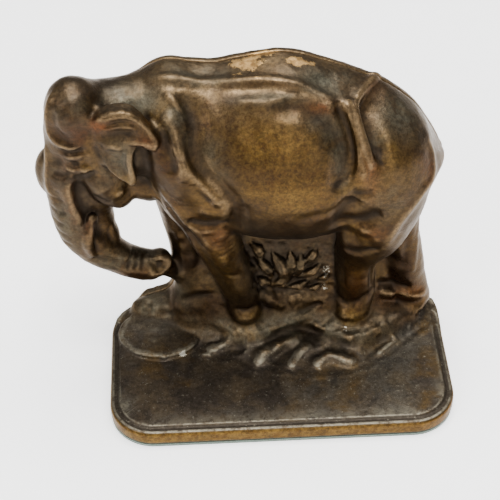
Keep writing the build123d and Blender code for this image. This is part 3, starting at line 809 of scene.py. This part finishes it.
SPOTS["grey"] = [
    ((20, 4, 108), (4, 6, 8), 0.9), ((21.5, 1, 99), (3.2, 5, 7), 0.9), ((14, 8, 116), (7, 5, 3), 0.8),
    ((-24, 3, 108), (5, 5, 8), 0.6), ((-20, 1, 100), (4, 4, 6), 0.5), ((33, 8, 106), (4, 5, 8), 0.8),
    ((16, 22, 123), (17, 8, 5), 1.0), ((42, 20, 109), (10, 10, 10), 0.9), ((-56, 16, 119), (12, 9, 7), 0.9),
    ((18, 7, 110), (6, 6, 12), 0.7), ((-30, 24, 126), (18, 8, 4), 0.7), ((-2, 14, 122), (14, 3, 3), 0.7),
    ((-55, 5, 104), (8, 5, 9), 0.55), ((-33, 8, 112), (4, 6, 8), 0.5), ((0, 17, 40), (30, 8, 22), 0.45),
    ((8, 6, 13), (50, 9, 5), 0.8), ((-79, 18, 90), (7, 10, 16), 0.6), ((-55, 15, 52), (12, 8, 5), 0.6),
    ((-44, 12, 11), (16, 14, 3), 0.5), ((36, 4, 86), (12, 6, 12), 0.4), ((50, 10, 78), (8, 8, 10), 0.5),
    ((10.5, 17, 15), (8, 6, 4), 1.0), ((-76, 10, 88), (9, 10, 26), 0.5), ((-61, 9, 53), (11, 8, 6), 0.7),
    ((-60, 8, 96), (10, 8, 12), 0.4), ((-70, 9, 124), (9, 8, 6), 0.6), ((-50, 16, 121), (14, 8, 6), 1.0),
    ((-54, 4, 106), (7, 4, 10), 0.8), ((-36, 12, 118), (7, 8, 8), 0.7), ((-76, 9, 74), (8, 8, 16), 0.6),
    ((-48, 26, 13), (12, 9, 6), 0.9), ((0, 10, 14), (44, 12, 5), 0.9), ((-45, 20, 26), (13, 8, 13), 0.8),
    ((-44, 16, 50), (6, 6, 5), 0.6), ((-28, 14, 11), (5, 6, 3), 0.9), ((-8, 3, 11), (30, 5, 4), 0.7),
    ((42, 4, 10), (14, 5, 3), 0.6),
]
SPOTS["chips"] = [
    ((19, 16, 36.5), (1.8, 4, 2.6), 1.0), ((18.5, 15, 28.5), (1.6, 4, 1.8), 1.0),
    ((26, 9, 14), (1.3, 3, 1.6), 1.0), ((12.5, 20, 14.8), (1.6, 4, 0.9), 1.0),
    ((15, 20, 15.6), (1.6, 4, 0.9), 1.0), ((17.3, 20, 16.4), (1.4, 4, 0.8), 1.0),
    ((-37, 3, 9), (2.2, 1.5, 2), 0.9), ((-52.5, 12.5, 56), (0.6, 3, 3), 1.0),
]
SPOTS["worn"] = [
    ((-12, 27, 128), (8, 5, 4), 1.0), ((-5, 30.5, 129), (8, 2.6, 3), 1.0), ((-14, 23, 127), (4, 4, 4), 0.7),
    ((7.5, 27, 128), (6.5, 3.2, 4), 0.95), ((-4, 20, 126.5), (26, 1.6, 2), 0.45),
    ((-36, 23, 127), (5, 2, 2), 0.5), ((30, 24.5, 118.7), (5, 5, 2), 0.5),
    ((24, 15, 118.5), (2, 3, 2), 0.5),
]


def soft_lines(points, lines):
    """How strongly each point lies on a set of soft lines: (corners, width, strength)."""
    total = np.zeros(len(points))
    for corners, width, strength in lines:
        row = clay.snap(curve_through(corners, Clay.stroke_spacing)[:, :3])
        near = ((points > row.min(0) - 3 * width) & (points < row.max(0) + 3 * width)).all(1)
        local = points[near]
        best = np.full(len(local), 1e6)
        for a, b in zip(row[:-1], row[1:]):
            best = np.minimum(best, gap_to_segment(*local.T, a, b)[1])
        total[near] = np.maximum(total[near], strength * np.exp(-best / (width * width)))
    return total


# Rubbed wear and painted highlight: the ridges and folds that catch the light, made bright
LINES["rubbed"] = [
    (HIP_RIDGE[:5], 0.9, 1.0),
    ([(24.5, 15, 118), (26, 10.7, 114), (27.3, 7.5, 110), (29, 4.7, 105), (31, 2.5, 100)], 1.0, 0.75),
    ([(-38, 18, 124), (-31, 18, 124), (-24, 17, 124)], 1.0, 0.6),
    ([(-17, 17, 124), (-10, 16, 125), (-4, 15.5, 125.5), (2, 15, 125)], 0.9, 0.9),
    ([(8, 14.5, 124), (14, 13.5, 121.5), (19, 13, 119), (23, 13, 117)], 0.9, 0.6),
    (HAUNCH_FOLD, 1.1, 0.7),
    (SHOULDER_FOLD, 1.0, 0.6),
    (ELBOW_FOLD, 1.0, 0.6),
    (SHOULDER_EDGE[:4], 1.0, 0.7),
    ([(-44, 12, 90), (-41, 12, 84), (-38.5, 13, 77), (-36, 14, 70)], 0.5, 0.9),
]
# Painted shade: lines darkened along valleys and creases where shade falls
LINES["deep"] = [
    ([(-3, 11, 121.5), (3, 11, 121), (8, 11, 120), (13, 9, 117), (17, 8, 114.5), (20, 6, 110.5),
      (22, 3.5, 106), (22, 1.5, 101), (21, 0, 97), (18, -1, 93)], 1.9, 0.75),
    ([(26, 0.5, 88), (23, 1, 82), (20, 3, 76), (19, 6, 70)], 2.4, 0.9), (SHOULDER_VALLEY[2:], 2.0, 0.7),
    (HIP_VALLEY[1:], 1.8, 0.6), (ELBOW_CREASE, 1.4, 0.9), (MOUTH, 1.3, 0.9), (TRUNK_VALLEY, 2.6, 0.65),
    ([(-49, 14, 108), (-47.5, 14, 102), (-47, 14, 96), (-47, 14, 89)], 3.4, 0.85),
    (KNEE_CREASE[:4], 1.8, 0.8),
    ([(-13, 12, 60), (-10, 12, 50), (-7, 13, 38), (-4, 14, 27), (-3, 14, 18)], 2.2, 0.8),
    ([(20, 14, 60), (20.5, 14, 48), (21, 14, 36), (21, 14, 24)], 2.2, 0.7),
    ([(-22, 2, 112), (-19, 0, 104), (-16, -1, 96)], 4.5, 0.4),
]
# Painted shade: spots darkened under the belly, between the legs and in recesses of the head and ear
SPOTS["deep"] = [
    ((-10, 2, 74), (11, 10, 11), 0.85), ((6, 4, 63), (30, 14, 8), 0.9), ((-9, 0, 87), (6, 6, 6), 0.6),
    ((-72, 6.5, 121), (7, 7, 7), 0.35), ((-74, 9, 101.5), (6, 5, 5), 0.45), ((-64, 8, 86), (7, 8, 7), 0.6),
    ((3, 17, 48), (22, 8, 8), 0.6), ((38, 8, 60), (5, 6, 4), 0.3), ((30, 22, 112), (5, 5, 4), 0.3),
    ((-62, 6, 91), (6, 6, 6), 0.5), ((-55, 4, 117.5), (7, 4, 2.2), 0.5), ((6, 2, 73), (28, 10, 5), 0.4),
    ((-60, 5, 110), (3, 4, 6), 0.4), ((-57, 4, 104), (4, 4, 5), 0.25), ((-21, 12, 24), (3, 5, 6), 0.5),
]


def paint(piece, field):
    """Point values that the patina reads: how raised each place is, and where the tints, the painted shade
    and the painted highlights lie.
    """
    mesh = piece.data
    points = np.empty(len(mesh.vertices) * 3)
    mesh.vertices.foreach_get("co", points)
    points = points.reshape(-1, 3) / MM
    relief_passes, mass_passes = ((10, 26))
    wide = field[::MASS_STRIDE, ::MASS_STRIDE, ::MASS_STRIDE]
    wide_step = STEP * MASS_STRIDE
    coarse = Clay(clay.low, clay.low + wide_step * (np.array(wide.shape) - 1.01), wide_step)
    values = {
        "relief": clay.sample(points, clay.blur(relief_passes, field)),
        "mass": coarse.sample(points, clay.blur(mass_passes, wide)),
    }
    for name in {**SPOTS, **LINES}:
        spots = soft_spots(points, SPOTS.get(name, []))
        values[name] = np.maximum(spots, soft_lines(points, LINES.get(name, [])))
    for name, numbers in values.items():
        layer = mesh.attributes.new(name, "FLOAT", "POINT")
        layer.data.foreach_set("value", numbers.astype(np.float32))


front_field, rear_field = castings()
front = casting_piece(front_field, "front_casting_modelled", "front", "front_casting")
rear = casting_piece(rear_field, "rear_cover_modelled", "cover", "rear_cover")


# ---------------------------------------------------------------- materials

class Graph:
    """A short way to write a material's nodes."""

    def __init__(self, name):
        self.material = bpy.data.materials.new(name)
        self.material.use_nodes = True
        self.tree = self.material.node_tree
        self.shader = self.tree.nodes["Principled BSDF"]
        self.place = self.node("ShaderNodeTexCoord").outputs["Object"]

    def node(self, kind):
        return self.tree.nodes.new(kind)

    def plug(self, value, socket):
        """Links a socket, or sets a plain value."""
        if isinstance(value, bpy.types.NodeSocket):
            self.tree.links.new(value, socket)
        else:
            socket.default_value = value

    def noise(self, scale, detail=4.0, roughness=0.55, distortion=0.0, squeeze=None):
        node = self.node("ShaderNodeTexNoise")
        place = self.place
        if squeeze:
            mapping = self.node("ShaderNodeMapping")
            mapping.inputs["Scale"].default_value = squeeze
            self.plug(place, mapping.inputs["Vector"])
            place = mapping.outputs["Vector"]
        self.plug(place, node.inputs["Vector"])
        node.inputs["Scale"].default_value = scale
        node.inputs["Detail"].default_value = detail
        node.inputs["Roughness"].default_value = roughness
        node.inputs["Distortion"].default_value = distortion
        return node.outputs["Fac"]

    def point_value(self, name):
        node = self.node("ShaderNodeAttribute")
        node.attribute_name = name
        return node.outputs["Fac"]

    def maths(self, operation, a, b):
        node = self.node("ShaderNodeMath")
        node.operation = operation
        self.plug(a, node.inputs[0])
        self.plug(b, node.inputs[1])
        return node.outputs[0]

    def times(self, a, b):
        return self.maths("MULTIPLY", a, b)

    def band(self, value, low, high, out_low=0.0, out_high=1.0):
        """The value eased from low..high to out_low..out_high, and held beyond."""
        node = self.node("ShaderNodeMapRange")
        node.interpolation_type = "SMOOTHSTEP"
        self.plug(value, node.inputs["Value"])
        node.inputs["From Min"].default_value = low
        node.inputs["From Max"].default_value = high
        node.inputs["To Min"].default_value = out_low
        node.inputs["To Max"].default_value = out_high
        return node.outputs["Result"]

    def mix(self, amount, a, b, blend="MIX"):
        node = self.node("ShaderNodeMix")
        node.data_type = "RGBA"
        node.blend_type = blend
        self.plug(amount, node.inputs[0])
        self.plug(a if isinstance(a, bpy.types.NodeSocket) else (*a, 1), node.inputs[6])
        self.plug(b if isinstance(b, bpy.types.NodeSocket) else (*b, 1), node.inputs[7])
        return node.outputs[2]

    def blend(self, value, low, high, colour_low, colour_high):
        """One colour below the band and the other above it."""
        return self.mix(self.band(value, low, high), colour_low, colour_high)

    def parts(self, vector):
        """The X, Y and Z of a vector."""
        node = self.node("ShaderNodeSeparateXYZ")
        self.plug(vector, node.inputs[0])
        return node.outputs

    def bump(self, height, distance, strength=1.0, normal=None):
        node = self.node("ShaderNodeBump")
        self.plug(height, node.inputs["Height"])
        node.inputs["Distance"].default_value = distance
        node.inputs["Strength"].default_value = strength
        if normal is not None:
            self.plug(normal, node.inputs["Normal"])
        return node.outputs["Normal"]

    def finish(self, colour, rough, normal, metal):
        self.plug(colour, self.shader.inputs["Base Color"])
        self.plug(rough, self.shader.inputs["Roughness"])
        self.plug(normal, self.shader.inputs["Normal"])
        self.shader.inputs["Metallic"].default_value = metal
        return self.material


# The patina's colours, with the painted shade, the painted highlight and the painted light from above among
# them
DARK_BROWN = (0.032, 0.0150, 0.0055)
WARM_BROWN = (0.078, 0.041, 0.0125)
OCHRE = (0.098, 0.058, 0.018)
GOLD_SHADE = (0.095, 0.047, 0.008)
GOLD_LIGHT = (0.175, 0.100, 0.020)
COPPER = (0.120, 0.036, 0.009)
GREY_BLOOM = (0.086, 0.083, 0.058)
# Dust with painted light from above, laid on upward faces
DUST_AND_TOP_LIGHT = (0.078, 0.073, 0.056)
GROUND_DARK = (0.042, 0.034, 0.026)
GROUND_LIGHT = (0.070, 0.052, 0.031)
GROUND_OCHRE = (0.088, 0.052, 0.014)
GROUND_GREY = (0.080, 0.076, 0.062)
RIM_STEP = (0.036, 0.029, 0.021)
# Painted shade: the brown that hollows, creases and undersides are darkened towards
PAINTED_SHADE_BROWN = (0.021, 0.0145, 0.0095)
# Rubbed brass with a painted highlight, for raised edges and the marked ridges
RUBBED_BRASS_AND_HIGHLIGHT = (0.240, 0.160, 0.080)
GRAIN_DARK = (0.010, 0.007, 0.004)
SPECK_DARK = (0.012, 0.009, 0.007)
# Pale dirt, also a painted highlight on the raised ground marks
PALE_DIRT_AND_HIGHLIGHT = (0.17, 0.155, 0.115)
CHIPPED = (0.42, 0.40, 0.33)
BRASS_SHADE = (0.19, 0.105, 0.035)
BRASS_LIGHT = (0.40, 0.25, 0.095)
OVERALL = (0.76, 0.74, 0.72)
WARM_GLOSS = (0.78, 0.72, 0.66, 1)

# The heights in metres over which the rim's, the field's edge's and the low ground's tints fade out
RIM_FADE = (0.00722, 0.0069)
STEP_FADE = (0.0078, 0.0074)
GROUND_FADE = (0.012, 0.009)


def plinth_bands(g, height):
    """By height: the rim, all but the rim, the field with the low ground, and the step round the field."""
    rim = g.band(height, *RIM_FADE)
    above_rim = g.maths("SUBTRACT", 1.0, rim)
    low = g.times(g.band(height, *GROUND_FADE), above_rim)
    step = g.times(g.band(height, *STEP_FADE), above_rim)
    return rim, above_rim, low, step


def brown_tints(g, patches, mottle, rim):
    """The brown body with its golden, coppery and grey-green patches. Also says where it is grey."""
    colour = g.blend(g.noise(26, 5, 0.6, 0.4), 0.38, 0.64, DARK_BROWN, WARM_BROWN)
    colour = g.mix(g.band(patches, 0.40, 0.66, 0, 0.6), colour, OCHRE)
    gold = g.times(g.point_value("gold"), g.band(patches, 0.28, 0.58, 0.45, 1.0))
    gold = g.maths("MAXIMUM", gold, rim)
    colour = g.mix(gold, colour, g.blend(mottle, 0.35, 0.62, GOLD_SHADE, GOLD_LIGHT))
    copper = g.times(g.point_value("copper"), g.band(mottle, 0.32, 0.62, 0.35, 1.0))
    colour = g.mix(copper, colour, COPPER)
    grey = g.times(g.point_value("grey"), g.band(g.noise(150, 6, 0.7, 0.3), 0.34, 0.60, 0.25, 0.95))
    return g.mix(grey, colour, GREY_BLOOM), grey


def ground_tints(g, patches):
    """The plinth's field and the ground: dark brown with ochre and grey clouds."""
    colour = g.blend(patches, 0.38, 0.66, GROUND_DARK, GROUND_LIGHT)
    colour = g.mix(g.band(g.noise(55, 5, 0.6, 0.2), 0.54, 0.68, 0, 0.7), colour, GROUND_OCHRE)
    return g.mix(g.band(g.noise(34, 4, 0.6, 0.2), 0.52, 0.66, 0, 0.5), colour, GROUND_GREY)


def painted_shade(g, relief, mass, upward):
    """Painted shade: how much darker the colour is made in hollows near and wide, on undersides, and along
    the marked deep lines and spots.
    """
    dark = g.maths("ADD", g.band(relief, -0.04, -0.45, 0, 0.75), g.band(mass, -0.25, -3.0, 0, 0.75))
    dark = g.maths("ADD", dark, g.band(upward, -0.15, -0.75, 0, 0.55))
    dark = g.maths("ADD", dark, g.times(g.point_value("deep"), 0.7))
    return g.maths("MINIMUM", dark, 0.86)


def rubbed_wear_and_highlight(g, relief, mottle, above_rim):
    """How far raised edges and the marked lines are made bright: partly rubbed wear, partly a painted
    highlight.
    """
    edges = g.times(g.band(relief, 0.16, 0.55, 0, 0.6), g.band(mottle, 0.3, 0.55, 0.4, 1.0))
    edges = g.times(edges, above_rim)
    lines = g.times(g.point_value("rubbed"), g.band(mottle, 0.28, 0.52, 0.45, 1.0))
    return g.maths("MAXIMUM", edges, lines)


def grain_and_specks(g, colour, speck):
    """Fine dark grain and dark specks over the colour."""
    grain = g.band(g.noise(700, 5, 0.75), 0.36, 0.64)
    colour = g.mix(g.times(g.maths("SUBTRACT", 1.0, grain), 0.55), colour, GRAIN_DARK)
    return g.mix(g.band(speck, 0.58, 0.70, 0, 0.5), colour, SPECK_DARK)


def wear(g, colour, mottle, relief, low):
    """Pale dirt on the ground, with a painted highlight on its raised marks, chips, and the plate worn
    through to bare brass.
    """
    pale = g.times(g.band(g.noise(900, 4, 0.75), 0.58, 0.68), g.band(mottle, 0.42, 0.58, 0.15, 0.9))
    pale = g.times(pale, low)
    # Raised ground marks made paler: a painted highlight on their upper edges, with pale dirt
    raised = g.times(low, g.band(relief, 0.10, 0.22))
    raised = g.times(raised, g.band(g.noise(260, 6, 0.8), 0.40, 0.56, 0.05, 0.75))
    colour = g.mix(g.maths("MAXIMUM", pale, raised), colour, PALE_DIRT_AND_HIGHLIGHT)
    chips = g.maths("ADD", g.point_value("chips"), g.band(g.noise(800, 5, 0.75), 0.25, 0.75, -0.5, 0.4))
    colour = g.mix(g.band(chips, 0.45, 0.6), colour, CHIPPED)
    worn = g.maths("ADD", g.point_value("worn"), g.band(g.noise(210, 6, 0.75), 0.25, 0.75, -0.45, 0.35))
    brass = g.blend(mottle, 0.35, 0.6, BRASS_SHADE, BRASS_LIGHT)
    return g.mix(g.band(worn, 0.46, 0.58), colour, brass)


def patinated_bronze(name):
    """Bronze plate over iron: brown patina, painted shade in hollows and on undersides, rubbed edges with
    painted highlights, dust with painted light from above, grey-green bloom, bare brass.
    """
    g = Graph(name)
    patches = g.noise(95, 6, 0.65, 0.6)
    mottle = g.noise(420, 5, 0.7)
    speck = g.noise(1500, 3, 0.6)
    relief, mass = g.point_value("relief"), g.point_value("mass")
    upward = g.parts(g.node("ShaderNodeNewGeometry").outputs["Normal"])["Z"]
    rim, above_rim, low, step = plinth_bands(g, g.parts(g.place)["Z"])
    colour, grey = brown_tints(g, patches, mottle, rim)
    # Paler on upward faces: partly dust, partly painted light from above
    dust_and_top_light = g.times(g.band(upward, 0.45, 1.0, 0, 0.30), g.band(mottle, 0.3, 0.6, 0.5, 1.0))
    colour = g.mix(dust_and_top_light, colour, DUST_AND_TOP_LIGHT)
    colour = g.mix(low, colour, ground_tints(g, patches))
    colour = g.mix(step, colour, RIM_STEP)
    # Painted shade: the colour darkened in hollows, along creases and on undersides
    dark = painted_shade(g, relief, mass, upward)
    colour = g.mix(dark, colour, PAINTED_SHADE_BROWN)
    # Raised edges and marked lines brightened: rubbed wear with a painted highlight
    colour = g.mix(rubbed_wear_and_highlight(g, relief, mottle, above_rim), colour, RUBBED_BRASS_AND_HIGHLIGHT)
    colour = grain_and_specks(g, colour, speck)
    colour = wear(g, colour, mottle, relief, low)
    colour = g.mix(1.0, colour, OVERALL, "MULTIPLY")
    rough = g.band(patches, 0.3, 0.7, 0.26, 0.39)
    for place, amount in ((grey, 0.16), (dark, 0.22), (low, 0.12)):
        rough = g.maths("ADD", rough, g.times(place, amount))
    normal = g.bump(mottle, 0.00022, 0.6)
    normal = g.bump(speck, 0.00010, 0.7, normal)
    g.shader.inputs["Specular Tint"].default_value = WARM_GLOSS
    return g.finish(colour, rough, normal, 0.85)


def blackened_steel():
    """Screws: turned steel gone dark, bright where a driver has rubbed the slot and the rim."""
    g = Graph("blackened_steel")
    turned = g.noise(500, 3, 0.6, 0.0, (1.0, 14.0, 1.0))
    stain = g.noise(700, 5, 0.7)
    edges = g.node("ShaderNodeNewGeometry").outputs["Pointiness"]
    colour = g.blend(stain, 0.38, 0.62, (0.075, 0.062, 0.050), (0.19, 0.165, 0.14))
    colour = g.mix(g.band(edges, 0.52, 0.58, 0, 0.8), colour, (0.48, 0.44, 0.38))
    rough = g.band(turned, 0.3, 0.7, 0.26, 0.46)
    return g.finish(colour, rough, g.bump(turned, 0.00006, 0.8), 1.0)


def green_felt():
    """Wool felt: matted fibres of two greens, with a soft sheen."""
    g = Graph("green_felt")
    fibres = g.noise(2600, 8, 0.75, 1.5)
    tufts = g.noise(420, 5, 0.7, 0.8)
    colour = g.blend(tufts, 0.35, 0.65, (0.022, 0.060, 0.036), (0.060, 0.115, 0.072))
    colour = g.mix(g.band(fibres, 0.45, 0.7, 0, 0.6), colour, (0.16, 0.21, 0.15))
    g.shader.inputs["Sheen Weight"].default_value = 0.5
    g.shader.inputs["Sheen Roughness"].default_value = 0.6
    rough = g.band(fibres, 0.3, 0.7, 0.85, 1.0)
    return g.finish(colour, rough, g.bump(fibres, 0.0004, 0.9), 0.0)


def pale_floor():
    """A nearly white matt floor that glows a little, as a lit sweep does."""
    g = Graph("pale_floor")
    grain = g.noise(60, 3)
    colour = g.blend(grain, 0.3, 0.7, (0.95, 0.95, 0.945), (0.97, 0.97, 0.965))
    g.shader.inputs["Emission Color"].default_value = (1, 1, 1, 1)
    g.shader.inputs["Emission Strength"].default_value = 0.7
    return g.finish(colour, 0.75, g.bump(grain, 0.0001, 0.1), 0.0)


def clothe(node, material):
    """Gives a CAD node its finish, in every material slot."""
    slots = bpy.data.objects[node].data.materials
    if len(slots) == 0:
        slots.append(material)
    for k in range(len(slots)):
        slots[k] = material


for piece, name in ((front, "bronze_patina"), (rear, "bronze_patina_rear")):
    piece.data.materials.append(patinated_bronze(name))
steel = blackened_steel()
for screw in SCREWS:
    clothe(screw, steel)
clothe("felt_pad", green_felt())


# ---------------------------------------------------------------- camera, floor and light

CAMERA_PLACE = (-0.02775, -0.36460, 0.40973)
CAMERA_FORWARD = (0.03339, 0.72689, -0.68595)
CAMERA_RIGHT = (0.99866, -0.05139, -0.00584)
CAMERA_LENS = 100.8
SENSOR_WIDTH = 36
FLOOR_HALF = 4


def place_camera():
    camera = bpy.data.objects.new("camera", bpy.data.cameras.new("camera"))
    camera.data.lens = CAMERA_LENS
    camera.data.sensor_width = SENSOR_WIDTH
    camera.data.clip_start = 0.01
    forward = Vector(CAMERA_FORWARD).normalized()
    right = Vector(CAMERA_RIGHT).normalized()
    up = right.cross(forward).normalized()
    turn = Matrix((right, up, -forward)).transposed().to_4x4()
    camera.matrix_world = Matrix.Translation(CAMERA_PLACE) @ turn
    bpy.context.scene.collection.objects.link(camera)
    bpy.context.scene.camera = camera


def place_floor():
    mesh = bpy.data.meshes.new("floor")
    corners = [(FLOOR_HALF * x, FLOOR_HALF * y, 0) for x, y in ((-1, -1), (1, -1), (1, 1), (-1, 1))]
    mesh.from_pydata(corners, [], [(0, 1, 2, 3)])
    floor = bpy.data.objects.new("floor", mesh)
    floor.data.materials.append(pale_floor())
    bpy.context.scene.collection.objects.link(floor)


def area_light(name, place, aim, size, power):
    """A square light of the given size, aimed at a point."""
    light = bpy.data.objects.new(name, bpy.data.lights.new(name, "AREA"))
    light.data.size = size
    light.data.energy = power
    light.location = place
    light.rotation_euler = (Vector(aim) - Vector(place)).to_track_quat("-Z", "Y").to_euler()
    bpy.context.scene.collection.objects.link(light)


place_camera()
place_floor()
area_light("soft_top", (0.1, 0.1, 1.3), (0, 0, 0.05), 1.0, 36)
area_light("soft_front", (0.15, -1.0, 0.55), (0, 0, 0.05), 0.7, 6)
area_light("soft_left", (-0.9, -0.6, 0.8), (0, 0, 0.06), 0.6, 8)
for x, y in ((-0.16, -0.34), (0.04, -0.36), (-0.07, -0.16), (0.10, -0.18)):
    area_light("lamp", (x, y, 1.2), (-0.02, 0.01, 0.08), 0.035, 1.1)


def studio_world():
    """A soft room: bright overhead, dimmer towards the horizon."""
    world = bpy.data.worlds.new("studio")
    world.use_nodes = True
    nodes, links = world.node_tree.nodes, world.node_tree.links
    split = nodes.new("ShaderNodeSeparateXYZ")
    links.new(nodes.new("ShaderNodeTexCoord").outputs["Generated"], split.inputs[0])
    ramp = nodes.new("ShaderNodeMapRange")
    links.new(split.outputs["Z"], ramp.inputs["Value"])
    ramp.inputs["From Min"].default_value = -0.1
    ramp.inputs["From Max"].default_value = 0.9
    ramp.inputs["To Min"].default_value = 0.28
    ramp.inputs["To Max"].default_value = 1.1
    links.new(ramp.outputs["Result"], nodes["Background"].inputs["Color"])
    nodes["Background"].inputs["Strength"].default_value = 1.0
    bpy.context.scene.world = world


studio_world()
